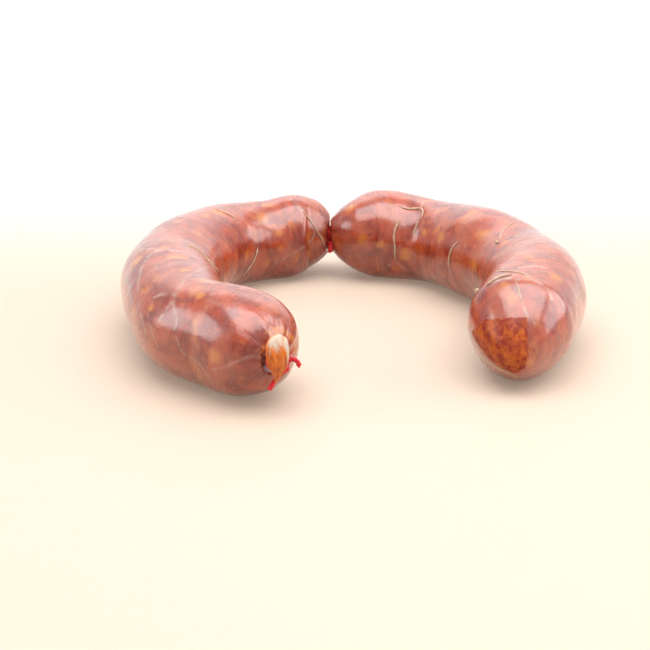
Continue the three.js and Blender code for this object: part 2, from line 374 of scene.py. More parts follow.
camera_data = bpy.data.cameras.new("camera")
camera_data.sensor_width = SENSOR
camera_data.lens = FOCAL_PIXELS * SENSOR / PICTURE
camera = bpy.data.objects.new("camera", camera_data)
turn = Matrix.Rotation(CAMERA_TILT, 4, "X") @ Matrix.Rotation(CAMERA_ROLL, 4, "Z")
camera.matrix_world = Matrix.Translation(CAMERA_PLACE) @ turn
bpy.context.scene.collection.objects.link(camera)
bpy.context.scene.camera = camera


def sight_line(pixel):
    """The direction in which a pixel of the picture lies."""
    x, y = (pixel[0] - PICTURE / 2) / FOCAL_PIXELS, (PICTURE / 2 - pixel[1]) / FOCAL_PIXELS
    return (turn.to_3x3() @ Vector((x, y, -1))).normalized()


def pixels_of(points):
    """Where points in millimetres show in the picture."""
    seen = (points * MM - np.array(CAMERA_PLACE)) @ np.array(turn.to_3x3())
    scale = -FOCAL_PIXELS / seen[..., 2]
    return np.stack([PICTURE / 2 + seen[..., 0] * scale, PICTURE / 2 - seen[..., 1] * scale], -1)


tie_pixel = pixels_of(np.array([*TIE, MIDDLE_END["height"]])).round(1)
print("lens:", round(camera_data.lens, 1), "mm; the tie shows at", tie_pixel)

# %% [markdown]
# ## From a grid to a mesh
#
# Quads join neighbouring rings, and a fan closes each tip. Each point keeps its place in the
# straightened link as an attribute, which the materials read.

# %% Make the meshes of the links
def grid_faces(rings, sides):
    """Quads between rings of points, one ring after the other."""
    faces = []
    for i in range(rings - 1):
        for j in range(sides):
            k = (j + 1) % sides
            faces.append((i * sides + j, (i + 1) * sides + j, (i + 1) * sides + k, i * sides + k))
    return faces


def make_piece(name, points, faces, slot):
    """A named piece that rides on the body, from points in millimetres."""
    mesh = bpy.data.meshes.new(name)
    mesh.from_pydata((np.asarray(points) * MM).tolist(), [], faces)
    mesh.validate()
    mesh.shade_smooth()
    piece = bpy.data.objects.new(name, mesh)
    bpy.context.scene.collection.objects.link(piece)
    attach(piece, "root")
    return piece


def store(piece, name, values):
    """Keeps a number or a vector for each point of a piece."""
    kind, field = ("FLOAT_VECTOR", "vector") if values.ndim == 2 else ("FLOAT", "value")
    attribute = piece.data.attributes.new(name, kind, "POINT")
    attribute.data.foreach_set(field, values.astype(np.float32).ravel())


def with_tips(grid):
    """A grid's values as one list, with single values for the two tips at its end."""
    shape = grid.shape[2:]
    return np.concatenate([grid[1:-1].reshape(-1, *shape), [grid[0].mean(0), grid[-1].mean(0)]])


def skin_piece(name, link):
    """The link's skin: the first and last rings shrink to single points."""
    rings = len(link["points"]) - 2
    faces = grid_faces(rings, SIDES)
    count = rings * SIDES
    last = count - SIDES
    for j in range(SIDES):
        k = (j + 1) % SIDES
        faces.append((count, j, k))
        faces.append((count + 1, last + k, last + j))
    piece = make_piece(name, with_tips(link["points"]), faces, "casing")
    store(piece, "straight", with_tips(link["straight"]))
    return piece


left_piece = skin_piece("sausage_left", left)
right_piece = skin_piece("sausage_right", right)
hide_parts("link_left")
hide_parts("link_right")
print("faces in the links:", len(left_piece.data.polygons), len(right_piece.data.polygons))

# %% [markdown]
# ## Lines and spots on the skin
#
# Natural casing shows broad pale bands and fine veins, and torn threads of it dry on the surface.
# Lumps of fat show through it, and oil has stained it round the tail. All this is random on every
# sausage, so what shows is drawn over the picture, as routes and as spots with a size in
# millimetres, and cast onto the skin from the camera. More veins and threads are scattered over
# the sides that the picture doesn't show, so that the links look alike all round.

# %% Routes and spots in the picture
BANDS_LEFT = [
    [(215, 266), (206, 262), (189, 254), (174, 251), (161, 250), (149, 256), (142, 268),
     (139, 279), (138, 291)],
    [(215, 266), (206, 268), (195, 272), (185, 279), (179, 289), (175, 296), (174, 305),
     (176, 319), (175, 329)],
    [(174, 299), (166, 309), (159, 321)],
    [(175, 294), (164, 294), (154, 298)],
    [(161, 250), (148, 249), (134, 249)],
]
BANDS_RIGHT = [
    [(490, 283), (504, 279), (518, 279), (532, 280), (545, 287), (552, 298)],
    [(519, 268), (535, 266), (552, 270), (567, 281), (577, 298)],
]
VEINS_LEFT = [
    [(131, 272), (130, 290), (133, 312), (138, 332)],
    [(139, 300), (141, 315), (146, 335)],
    [(147, 312), (151, 330), (158, 348)],
    [(213, 370), (226, 366), (240, 360), (251, 357), (262, 357)],
    [(176, 339), (183, 352), (198, 362), (207, 374)],
    [(314, 232), (312, 240), (301, 248), (285, 258), (275, 264)],
    [(290, 197), (302, 211), (312, 223), (314, 232)],
]
VEINS_RIGHT = [
    [(515, 281), (517, 292), (522, 303), (526, 312), (534, 322)],
    [(395, 262), (389, 265), (383, 269)],
    [(396, 262), (401, 266), (407, 270)],
    [(427, 200), (422, 204), (420, 211), (417, 222), (413, 236)],
    [(449, 262), (450, 272), (453, 281)],
    [(515, 222), (508, 226), (501, 234), (500, 242)],
]
FAT_LEFT = [
    (134, 263, 2.6), (174, 257, 2.2), (185, 270, 1.8), (200, 296, 1.6),
    (151, 307, 1.6), (214, 356, 2.2), (218, 212, 2.4), (262, 217, 2.6),
    (279, 233, 1.5), (205, 281, 1.6), (196, 322, 1.4),
]
STAINS_LEFT = [
    (271, 334, 1.1), (275, 331, 1.3), (279, 330, 1.3), (283, 330, 1.3),
    (287, 333, 1.3), (290, 336, 1.3), (293, 339, 1.3), (295, 343, 1.3),
    (295, 347, 1.2), (294, 351, 1.0), (264, 347, 0.8), (263, 352, 0.8),
]
FAT_RIGHT = [
    (363, 238, 2.0), (351, 208, 2.0), (483, 234, 2.6), (474, 265, 2.6),
    (441, 237, 2.2), (406, 255, 2.2), (380, 245, 1.4), (424, 232, 1.4),
    (556, 277, 2.4), (505, 285, 1.5), (530, 363, 1.6),
]
print("bands and veins:", sum(map(len, (BANDS_LEFT, BANDS_RIGHT, VEINS_LEFT, VEINS_RIGHT))))

# %% Cast them onto the skin
bpy.context.view_layer.update()


def cast(piece, pixel):
    """The place on a piece that shows at a pixel, in millimetres, and its normal."""
    hit, place, normal, _ = piece.ray_cast(CAMERA_PLACE, sight_line(pixel))
    return (np.array(place) / MM, np.array(normal)) if hit else None


def cast_route(piece, pixels, steps=10):
    """A smooth line of places and normals on a piece along a route of pixels."""
    line = smooth_through(pixels, steps)[:, :2] if len(pixels) > 1 else np.array(pixels, float)
    hits = [hit for hit in (cast(piece, pixel) for pixel in line) if hit]
    return np.array([hit[0] for hit in hits]), np.array([hit[1] for hit in hits])


def distance_to(points, places):
    """How far each point is from the nearest of many places."""
    tree = KDTree(len(places))
    for i, place in enumerate(places):
        tree.insert(place, i)
    tree.balance()
    return np.array([tree.find(point)[2] for point in points])


def all_points(piece):
    """A piece's points in millimetres."""
    flat = np.empty(3 * len(piece.data.vertices))
    piece.data.vertices.foreach_get("co", flat)
    return flat.reshape(-1, 3) / MM


print("first vein on the left link starts at", cast(left_piece, VEINS_LEFT[0][0])[0].round(1))

# %% [markdown]
# ## Veins over the whole skin
#
# On the sides that don't show, veins are drawn the same way, but as seeded random walks over the
# grid: they run mostly round the link and wander. A vein's strength falls off with the distance
# from its line, and the lines waver a little, as drawn ones look too smooth.

# %% Walk seeded veins over the grid
WANDERING_VEINS = 16
VEIN_STEPS = (30, 90)
FIRST_LEAN, LEAN_KEPT, LEAN_CHANGE = 0.5, 0.93, 0.22
START_MARGIN, END_MARGIN = 30, 20


def wandering_veins(link, seed):
    """Seeded lines over the grid, mostly round the link."""
    rng = np.random.default_rng(seed)
    rings, sides = link["points"].shape[:2]
    places = []
    for _ in range(WANDERING_VEINS):
        ring, turn_at = rng.uniform(START_MARGIN, rings - START_MARGIN), rng.uniform(0, sides)
        lean, way = rng.normal(0, FIRST_LEAN), rng.choice((-1, 1))
        for _ in range(int(rng.uniform(*VEIN_STEPS))):
            lean = LEAN_KEPT * lean + rng.normal(0, LEAN_CHANGE)
            ring, turn_at = ring + lean, turn_at + way
            if END_MARGIN < ring < rings - END_MARGIN:
                places.append(link["points"][int(ring), int(turn_at) % sides])
    return np.array(places)


print("places on the left link's seeded veins:", len(wandering_veins(left, 21)))

# %% Mark the veins, the fat and the stains
HIDDEN_STEEPNESS, HIDDEN_SHIFT = 8, 0.6
WAVER, WAVER_GRAIN, WAVER_SEEDS = 0.5, 6.0, (13, 14, 15)
BROAD_WIDTH, FINE_WIDTH, SEEDED_WIDTH = 0.85, 0.7, 0.8
FINE_STRENGTH, SEEDED_STRENGTH = 0.7, 0.75
TIP_REACH = 24


def hidden_from_camera(piece):
    """One where a point faces away from the camera, nought where it faces it."""
    normals = np.empty(3 * len(piece.data.vertices))
    piece.data.vertices.foreach_get("normal", normals)
    sight = all_points(piece) * MM - np.array(CAMERA_PLACE)
    away = np.einsum("ij,ij->i", normals.reshape(-1, 3), sight)
    return np.clip(away * HIDDEN_STEEPNESS + HIDDEN_SHIFT, 0, 1)


def spots(piece, points, places):
    """How close each point is to the nearest of some round spots, one in their middles."""
    closeness = np.zeros(len(points))
    for x, y, size in places:
        middle = cast(piece, (x, y))[0]
        closeness = np.maximum(closeness, 1 - np.linalg.norm(points - middle, axis=1) / (2 * size))
    return closeness


def near_lines(points, places, width):
    """How close each point is to wavering lines through many places, one on the lines."""
    waver = np.stack([soft_noise(points, WAVER_GRAIN, seed) for seed in WAVER_SEEDS], -1)
    return np.exp(-((distance_to(points + WAVER * waver, places) / width) ** 2))


def mark_skin(piece, link, bands, veins, fat, stains, seed):
    """Keeps how strongly each point is a vein, a lump of fat, an oil stain or near a tip."""
    points = all_points(piece)
    broad, fine = (
        np.vstack([cast_route(piece, route)[0] for route in routes]) for routes in (bands, veins)
    )
    broad = near_lines(points, broad, BROAD_WIDTH)
    vein = np.maximum(broad, FINE_STRENGTH * near_lines(points, fine, FINE_WIDTH))
    seeded = SEEDED_STRENGTH * near_lines(points, wandering_veins(link, seed), SEEDED_WIDTH)
    store(piece, "vein", np.maximum(vein, seeded * hidden_from_camera(piece)))
    store(piece, "fat", spots(piece, points, fat))
    store(piece, "stain", spots(piece, points, stains))
    store(piece, "near_tip", np.exp(-((with_tips(link["from_tip"]) / TIP_REACH) ** 2)))


mark_skin(left_piece, left, BANDS_LEFT, VEINS_LEFT, FAT_LEFT, STAINS_LEFT, 21)
mark_skin(right_piece, right, BANDS_RIGHT, VEINS_RIGHT, FAT_RIGHT, [], 22)
print("veins and fat are marked")

# %% [markdown]
# ## The exposed patch, partly a painted dark reflection
#
# The right link's tip shows its filling without the milky film, in a patch with straight, sharp
# edges. The patch is partly painted: its straight edges are where the lamps' reflection on the tip
# ends, and its deep red without film stands for a painted dark reflection. A mask painted by hand
# would need an image. Here each point keeps its signed distance to the patch's outline as the
# camera sees it, so that the material can draw a crisp edge between the points of the mesh.

# %% Mark the exposed patch, partly a painted dark reflection
# Outline of the right tip's patch: exposed filling, and a painted dark reflection where the lamps'
# reflection ends
BARE_AND_DARK_REFLECTION_PATCH = [
    (484, 319), (527, 317), (528, 352), (526, 368), (516, 374), (503, 369), (489, 359), (478, 345),
    (471, 332),
]
PALE_LIP = [(466, 335), (475, 349), (489, 363), (503, 371), (516, 377)]
FAR = 40.0
ON_THE_SIDE = 0.9
LIP_WIDTH = 1.0


def outline_distance(pixels, outline):
    """Distance in pixels to an outline, positive inside it."""
    corners = np.array(outline, float)
    nearest = np.full(len(pixels), 1e9)
    inside = np.zeros(len(pixels), bool)
    for a, b in zip(corners, np.roll(corners, -1, 0)):
        along = np.clip((pixels - a) @ (b - a) / ((b - a) @ (b - a)), 0, 1)
        away = pixels - a - along[:, None] * (b - a)
        nearest = np.minimum(nearest, np.linalg.norm(away, axis=1))
        crosses = (a[1] > pixels[:, 1]) != (b[1] > pixels[:, 1])
        if a[1] != b[1]:
            at = a[0] + (pixels[:, 1] - a[1]) / (b[1] - a[1]) * (b[0] - a[0])
            inside ^= crosses & (pixels[:, 0] < at)
    return np.where(inside, nearest, -nearest)


def mark_patch(piece, name, outline):
    """Keeps the signed distance to an outline, for points on the side that faces the camera."""
    distance = np.clip(outline_distance(pixels_of(all_points(piece)), outline), -FAR, FAR)
    store(piece, name, np.where(hidden_from_camera(piece) > ON_THE_SIDE, -FAR, distance))


# The patch mask marks exposed filling and a painted dark reflection on the right tip
mark_patch(right_piece, "bare_and_dark_reflection", BARE_AND_DARK_REFLECTION_PATCH)
store(left_piece, "bare_and_dark_reflection", np.full(len(left_piece.data.vertices), -FAR))
lip = cast_route(right_piece, PALE_LIP)[0]
lip_distance = distance_to(all_points(right_piece), lip)
store(right_piece, "lip", np.exp(-((lip_distance / LIP_WIDTH) ** 2)))
store(left_piece, "lip", np.zeros(len(left_piece.data.vertices)))
lip_length = np.linalg.norm(np.diff(lip, axis=0), axis=1).sum()
print("the pale lip is", round(float(lip_length), 1), "mm long")

# %% [markdown]
# ## Working with shader nodes
#
# Materials are built from nodes so that they need no image. A few small helpers keep each material
# short: they add a node with its settings and inputs, mix two colours, turn a value into a smooth
# step, do sums, and read what is kept for each point of a mesh.

# %% Helpers for nodes
def fill(tree, made, inputs):
    """Sets or links inputs of a node."""
    for socket, value in inputs.items():
        if isinstance(value, bpy.types.NodeSocket):
            tree.links.new(value, made.inputs[socket])
        else:
            made.inputs[socket].default_value = value


def node(tree, kind, inputs=None, **settings):
    """Adds a node, sets its options, and fills its inputs."""
    made = tree.nodes.new("ShaderNode" + kind)
    for option, value in settings.items():
        setattr(made, option, value)
    fill(tree, made, inputs or {})
    return made


def new_material(name):
    """An empty material, its nodes and its main shader."""
    material = bpy.data.materials.new(name)
    material.use_nodes = True
    return material, material.node_tree, material.node_tree.nodes["Principled BSDF"]


def kept(tree, name, output="Fac"):
    """What is kept under a name for each point of the mesh."""
    return node(tree, "Attribute", attribute_name=name).outputs[output]


print("nodes can be added")

# %% Helpers for colours and patterns
def mixed(tree, share, first, second):
    """Two colours mixed by a share, each a colour or a socket."""
    return node(tree, "Mix", {0: share, 6: first, 7: second}, data_type="RGBA").outputs[2]


def ramp(tree, value, low, high, start=0.0, end=1.0):
    """A smooth step of a value, from low to high."""
    sockets = {"Value": value, "From Min": low, "From Max": high, "To Min": start, "To Max": end}
    return node(tree, "MapRange", sockets, interpolation_type="SMOOTHSTEP").outputs["Result"]


def maths(tree, operation, first, second=0.0):
    return node(tree, "Math", {0: first, 1: second}, operation=operation).outputs[0]


def plus(tree, first, second):
    return maths(tree, "ADD", first, second)


def times(tree, first, second):
    return maths(tree, "MULTIPLY", first, second)


def centred(tree, value):
    """A noise value between -0.5 and 0.5."""
    return maths(tree, "SUBTRACT", value, 0.5)


def vector_maths(tree, operation, first, second=(0, 0, 0), scale=1.0):
    sockets = {0: first, 1: second, 3: scale}
    return node(tree, "VectorMath", sockets, operation=operation).outputs[0]


def stretched(tree, vector, along, around, twist=0.0):
    """Coordinates scaled along and round the link, slightly twisted."""
    turned = node(tree, "Mapping", {"Vector": vector, "Rotation": (0, 0, twist)}).outputs[0]
    return node(tree, "Mapping", {"Vector": turned, "Scale": (along, around, around)}).outputs[0]


def noise(tree, vector, scale, detail=3.0, roughness=0.5, output="Fac"):
    sockets = {"Vector": vector, "Scale": scale, "Detail": detail, "Roughness": roughness}
    return node(tree, "TexNoise", sockets).outputs[output]


def bumped(tree, height, strength, distance):
    """A surface bent by a height, as deep as a distance in metres."""
    sockets = {"Height": height, "Strength": strength, "Distance": distance}
    return node(tree, "Bump", sockets).outputs[0]


print("helpers are ready")

# %% [markdown]
# ## The filling
#
# Under the thin casing lies coarse meat, deep paprika red with brown and pink patches, and lumps of
# fat stained orange. The patches are soft noise, and the lumps are the cells of a cell pattern, of
# which only some are chosen. All of it is read from the straightened link, bent a little by noise
# of its own so that nothing looks regular. Every link has other patches, and the lumps that are
# marked on the skin are added to them.

# %% The filling's colours
DEEP_RED = (0.20, 0.016, 0.003, 1)
PAPRIKA_RED = (0.35, 0.046, 0.008, 1)
PINK_MEAT = (0.35, 0.068, 0.022, 1)
ORANGE_FAT = (0.46, 0.115, 0.012, 1)
PALE_FAT = (0.48, 0.150, 0.018, 1)
BEND_SCALE, BEND_REACH = 0.13, 9.0
PATCHES = ((0.13, 0.39, 0.61, PAPRIKA_RED), (0.09, 0.48, 0.72, PINK_MEAT))
PATCH_DETAIL, PATCH_ROUGHNESS = 4.0, 0.55
LUMPS = ((0.13, 0.68, ORANGE_FAT, 0.85), (0.34, 0.86, PALE_FAT, 0.45))
LUMP_CHOICE = 0.02
LUMP_EDGE = (0.55, 0.10)
MARKED_FAT_NOISE = (0.35, 4.0, 0.6)
MARKED_FAT_STEP = (0.60, 1.35, 0.0, 0.9)


def meat_colour(tree, place):
    """Coarse filling: soft patches of red, brown and pink with lumps of orange fat."""
    shift = vector_maths(tree, "ADD", noise(tree, place, BEND_SCALE, output="Color"), (-0.5,) * 3)
    shift = vector_maths(tree, "SCALE", shift, scale=BEND_REACH)
    bent = vector_maths(tree, "ADD", place, shift)
    colour = DEEP_RED
    for scale, low, high, tone in PATCHES:
        patch = ramp(tree, noise(tree, bent, scale, PATCH_DETAIL, PATCH_ROUGHNESS), low, high)
        colour = mixed(tree, patch, colour, tone)
    for scale, least, tone, strength in LUMPS:
        cells = node(tree, "TexVoronoi", {"Vector": bent, "Scale": scale, "Randomness": 1.0})
        chance = node(tree, "SeparateColor", {0: cells.outputs["Color"]}).outputs[0]
        chosen = times(tree, ramp(tree, chance, least, least + LUMP_CHOICE), strength)
        soft = ramp(tree, cells.outputs["Distance"], *LUMP_EDGE)
        colour = mixed(tree, times(tree, chosen, soft), colour, tone)
    marked = plus(tree, kept(tree, "fat"), noise(tree, place, *MARKED_FAT_NOISE))
    return mixed(tree, ramp(tree, marked, *MARKED_FAT_STEP), colour, PALE_FAT)


print("kinds of patches and lumps:", len(PATCHES) + len(LUMPS))

# %% [markdown]
# ## The casing over it
#
# The casing is a milky film with fine fibres and broader bands that run round the link, and pale
# veins that fade in and out. Layers of film could be real shells with glass-like shading, but on a
# still food a mix of colours looks the same and renders far faster. Beside the tail, paprika oil
# has soaked into it with a ragged edge.

# %% The film, its veins and the oil
MILKY_FILM = (0.39, 0.185, 0.145, 1)
VEIN_WHITE = (0.42, 0.27, 0.225, 1)
OIL_STAIN = (0.42, 0.115, 0.010, 1)
FIBRES = (0.50, 0.09, 0.30)
BANDS = (0.15, 0.06, 0.40)
CLOUD_SCALE, CLOUD_STEP = 0.035, (0.38, 0.62, 0.25, 1.0)
FIBRE_FILM = (0.45, 0.78, 0.0, 0.10)
BAND_FILM = (0.42, 0.66, 0.0, 0.15)
BREAK_SCALE, BREAK_STEP = 0.30, (0.32, 0.62, 0.25, 1.0)
VEIN_FILM = (0.0, 1.0, 0.0, 0.75)
OIL_SCALE, OIL_RAGGED, OIL_STEP = 0.8, 0.5, (0.66, 0.86)


def broken_vein(tree, place):
    """The veins, which fade in and out."""
    breaks = ramp(tree, noise(tree, place, BREAK_SCALE), *BREAK_STEP)
    return times(tree, kept(tree, "vein"), breaks)


def film_over(tree, place, colour, fibres, vein):
    """The filling's colour under the film, which is thicker along its fibres and veins."""
    clouds = ramp(tree, noise(tree, place, CLOUD_SCALE, 2.0), *CLOUD_STEP)
    streaks = times(tree, ramp(tree, fibres, *FIBRE_FILM), clouds)
    bands = noise(tree, stretched(tree, place, *BANDS), 1.0)
    film = plus(tree, streaks, ramp(tree, bands, *BAND_FILM))
    colour = mixed(tree, film, colour, MILKY_FILM)
    colour = mixed(tree, ramp(tree, vein, *VEIN_FILM), colour, VEIN_WHITE)
    ragged = times(tree, noise(tree, place, OIL_SCALE), OIL_RAGGED)
    oil = ramp(tree, plus(tree, kept(tree, "stain"), ragged), *OIL_STEP)
    return mixed(tree, oil, colour, OIL_STAIN)


print("the film hides at most", BAND_FILM[3] + FIBRE_FILM[3], "of the filling")

# %% [markdown]
# ## Where the film is missing, with a painted dark reflection
#
# On the right link's tip the wet, grainy filling itself shows: red and orange crumbs with brown
# spots of painted shade in the hollow places between them. The patch's deep red also stands for a
# painted dark reflection, where the lamps' reflection on the tip ends. Its edge stays sharp but not
# quite straight, because a little noise is added to the distance that each point keeps. Below it
# the torn film has dried to a yellow lip.

# %% Crumbs, painted shade between them, and the lip
# Colours of the exposed patch: real filling, and a painted dark reflection without the film
BARE_DARK_REFLECTION_RED = (0.22, 0.013, 0.001, 1)
BARE_DARK_REFLECTION_ORANGE = (0.44, 0.088, 0.004, 1)
# Brown for painted shade in the hollow places between the crumbs
HOLLOW_SHADE_BROWN = (0.08, 0.005, 0.002, 1)
LIP_YELLOW = (0.40, 0.24, 0.085, 1)
EDGE_SCALE, EDGE_UNEVEN, EDGE_STEP = 0.5, 4.0, (-0.6, 0.6)
CRUMBS, CRUMB_STEP = (0.28, 6.0, 0.72), (0.38, 0.63)
HOLLOW_SHADE_NOISE, HOLLOW_SHADE_STEP = (0.45, 4.0, 0.6), (0.40, 0.26, 0.0, 0.6)
LIP_STRENGTH = 0.7


def bare_and_dark_reflection_mask(tree, place):
    """One on the exposed patch, which is partly a painted dark reflection, nought elsewhere."""
    uneven = times(tree, centred(tree, noise(tree, place, EDGE_SCALE)), EDGE_UNEVEN)
    return ramp(tree, plus(tree, kept(tree, "bare_and_dark_reflection"), uneven), *EDGE_STEP)


def bare_and_dark_reflection_over(tree, place, colour, bare_and_dark_reflection, grain):
    """Skin colour with the pale lip and the exposed patch, its painted dark reflection and shade.
    """
    crumbs = mixed(tree, ramp(tree, grain, *CRUMB_STEP), BARE_DARK_REFLECTION_RED, BARE_DARK_REFLECTION_ORANGE)
    # Brown spots of painted shade between the crumbs, from noise
    painted_hollow_shade = ramp(tree, noise(tree, place, *HOLLOW_SHADE_NOISE), *HOLLOW_SHADE_STEP)
    colour = mixed(tree, bare_and_dark_reflection, colour, mixed(tree, painted_hollow_shade, crumbs, HOLLOW_SHADE_BROWN))
    return mixed(tree, times(tree, kept(tree, "lip"), LIP_STRENGTH), colour, LIP_YELLOW)


print("the patch's outline has", len(BARE_AND_DARK_REFLECTION_PATCH), "corners")

# %% [markdown]
# ## Fine relief
#
# A moist casing shows its form by how highlights break on it. The meshes hold the lumps and pleats.
# What is finer than a millimetre is a bump: fibres and wrinkles round the link, shallow dents,
# folds that run to the tips, veins that stand out, and the grain of the bare patch. The folds come
# from noise that is read by direction from the axis, so they meet at the tip.

# %% Heights of the skin
FOLDS_ROUND, FOLDS_ALONG, FOLDS = 20.0, 0.12, (0.9, 3.0, 0.6)
DENTS = (0.30, 2.0)
WRINKLES, WRINKLE_NOISE = (1.1, 0.8, 0.6), (1.0, 3.0, 0.55)
FIBRE_HEIGHT, FOLD_HEIGHT, DENT_HEIGHT = 0.08, 0.55, 0.5
WRINKLE_HEIGHT, VEIN_HEIGHT, GRAIN_HEIGHT = 0.20, 0.16, 1.3


def tip_folds(tree, place):
    """Fine folds that run to the tips, from noise stretched along the link."""
    across = vector_maths(tree, "MULTIPLY", place, (0, 1, 1))
    across = vector_maths(tree, "NORMALIZE", across)
    across = vector_maths(tree, "SCALE", across, scale=FOLDS_ROUND)
    ahead = vector_maths(tree, "MULTIPLY", place, (FOLDS_ALONG, 0, 0))
    folds = noise(tree, vector_maths(tree, "ADD", across, ahead), *FOLDS)
    return times(tree, folds, kept(tree, "near_tip"))


def skin_height(tree, place, fibres, vein, bare_grain):
    """The heights of all the fine relief added up."""
    height = times(tree, fibres, FIBRE_HEIGHT)
    for part, tall in (
        (tip_folds(tree, place), FOLD_HEIGHT),
        (noise(tree, place, *DENTS), DENT_HEIGHT),
        (noise(tree, stretched(tree, place, *WRINKLES), *WRINKLE_NOISE), WRINKLE_HEIGHT),
        (vein, VEIN_HEIGHT),
        (bare_grain, GRAIN_HEIGHT),
    ):
        height = plus(tree, height, times(tree, part, tall))
    return height


print("the bump of a fold is up to", FOLD_HEIGHT, "mm high before the strength is set")

# %% [markdown]
# ## One shader for the whole skin
#
# Colour, relief and gloss meet in one Principled shader. Light that scatters under the surface
# gives the filling its soft depth, and a coat on top stands for the thin wet casing, so highlights
# are crisp while the meat below stays soft. The exposed patch, which is partly a painted dark
# reflection, has little coat and is rougher, because no film shines there.

# %% Put the casing together
SKIN_BUMP = 0.55
FIBRE_ROUGHNESS = (0.3, 0.8, 0.24, 0.42)
BARE_ROUGHNESS = 0.3
COAT_STEP = (0.0, 1.0, 1.0, 0.2)


def casing_material():
    """The filling seen through a moist film: colour below, a glossy coat on top."""
    material, tree, skin = new_material("filled_casing")
    place = kept(tree, "straight", "Vector")
    fibres = noise(tree, stretched(tree, place, *FIBRES), 1.0)
    vein = broken_vein(tree, place)
    # The patch on the right tip is partly a painted dark reflection
    bare_and_dark_reflection = bare_and_dark_reflection_mask(tree, place)
    grain = noise(tree, place, *CRUMBS)
    colour = film_over(tree, place, meat_colour(tree, place), fibres, vein)
    height = skin_height(tree, place, fibres, vein, times(tree, grain, bare_and_dark_reflection))
    polish = plus(tree, ramp(tree, fibres, *FIBRE_ROUGHNESS), times(tree, bare_and_dark_reflection, BARE_ROUGHNESS))
    fill(tree, skin, {
        "Base Color": bare_and_dark_reflection_over(tree, place, colour, bare_and_dark_reflection, grain),
        "Normal": bumped(tree, height, SKIN_BUMP, MM),
        "Roughness": polish,
        "IOR": 1.3,
        "Coat Weight": ramp(tree, bare_and_dark_reflection, *COAT_STEP),
        "Coat IOR": 1.65,
        "Coat Roughness": 0.2,
        "Subsurface Weight": 0.25,
        "Subsurface Radius": (1.0, 0.35, 0.2),
        "Subsurface Scale": 2.0 * MM,
    })
    return material


casing = casing_material()
left_piece.data.materials.append(casing)
right_piece.data.materials.append(casing)
print("nodes in the casing's material:", len(casing.node_tree.nodes))

# %% [markdown]
# ## Tubes and twisted string
#
# Butcher's string is two or three thin strands twisted together. A curve with a round bevel would
# be smooth, so each strand is swept as a tube of its own along the string's route, turning round
# it once every few millimetres.

# %% Sweep tubes along a route
NOT_ALONG = (0.31, 0.2, 0.93)


def frames_along(route):
    """Two directions across a route at each of its points, with no needless twist."""
    ahead = np.gradient(route, axis=0)
    ahead /= np.linalg.norm(ahead, axis=1)[:, None]
    across = np.cross(ahead[0], NOT_ALONG)
    sides = []
    for direction in ahead:
        across = across - direction * (across @ direction)
        across /= np.linalg.norm(across)
        sides.append(across)
    sides = np.array(sides)
    return sides, np.cross(ahead, sides)


def closed_faces(rings, sides):
    """Quads between rings of points, and one flat face on each end."""
    last = (rings - 1) * sides
    ends = [tuple(range(sides))[::-1], tuple(range(last, last + sides))]
    return grid_faces(rings, sides) + ends


def tube(route, radii, sides=8):
    """Points and faces of a tube along a route, closed at its ends."""
    first, second = frames_along(route)
    angle = np.linspace(0, 2 * math.pi, sides, endpoint=False)
    circle = first[:, None] * np.cos(angle)[:, None] + second[:, None] * np.sin(angle)[:, None]
    points = route[:, None] + circle * np.broadcast_to(radii, len(route))[:, None, None]
    return points.reshape(-1, 3), closed_faces(len(route), sides)


def joined(parts):
    """Several sets of points and faces as one."""
    points, faces, count = [], [], 0
    for part_points, part_faces in parts:
        points.append(part_points)
        faces += [tuple(i + count for i in face) for face in part_faces]
        count += len(part_points)
    return np.vstack(points), faces


def even(route, step):
    """A route's points spaced evenly."""
    along = np.concatenate([[0], np.cumsum(np.linalg.norm(np.diff(route, axis=0), axis=1))])
    at = np.linspace(0, along[-1], max(4, round(along[-1] / step)))
    return np.stack([np.interp(at, along, route[:, k]) for k in range(3)], -1)


print("faces on a short tube:", len(closed_faces(4, 8)))

# %% Twist strands into string
STRING_RADIUS = 0.8
STRANDS = 3
STRAND_PITCH = 4.2
STRAND_STEP = 0.22
STRAND_SIDES = 9
STRAND_OUT, STRAND_SHARE = 0.50, 0.56
FRAY_REACH = 1.1


def twisted_string(route, fray=0.0):
    """Strands twisted round a route; the first end can be frayed."""
    route = even(np.array(route, float), STRAND_STEP)
    first, second = frames_along(route)
    along = np.arange(len(route)) * STRAND_STEP
    spread = STRAND_OUT * STRING_RADIUS * (1 + fray * np.exp(-along / FRAY_REACH))
    parts = []
    for strand in range(STRANDS):
        angle = 2 * math.pi * (along / STRAND_PITCH + strand / STRANDS)
        aside = first * np.cos(angle)[:, None] + second * np.sin(angle)[:, None]
        centre = route + aside * spread[:, None]
        parts.append(tube(centre, STRAND_SHARE * STRING_RADIUS, STRAND_SIDES))
    return joined(parts)


sample = twisted_string([(0, 0, 0), (5, 0, 0), (10, 1, 0)])
print("a centimetre of string has", len(sample[1]), "faces")

# %% [markdown]
# ## The ties
#
# Each tie goes twice round the thin neck and ends in a small hard knot with two cut ends. The
# knot is an overhand knot: the string's route runs once through its own loop, which a trefoil
# curve gives.

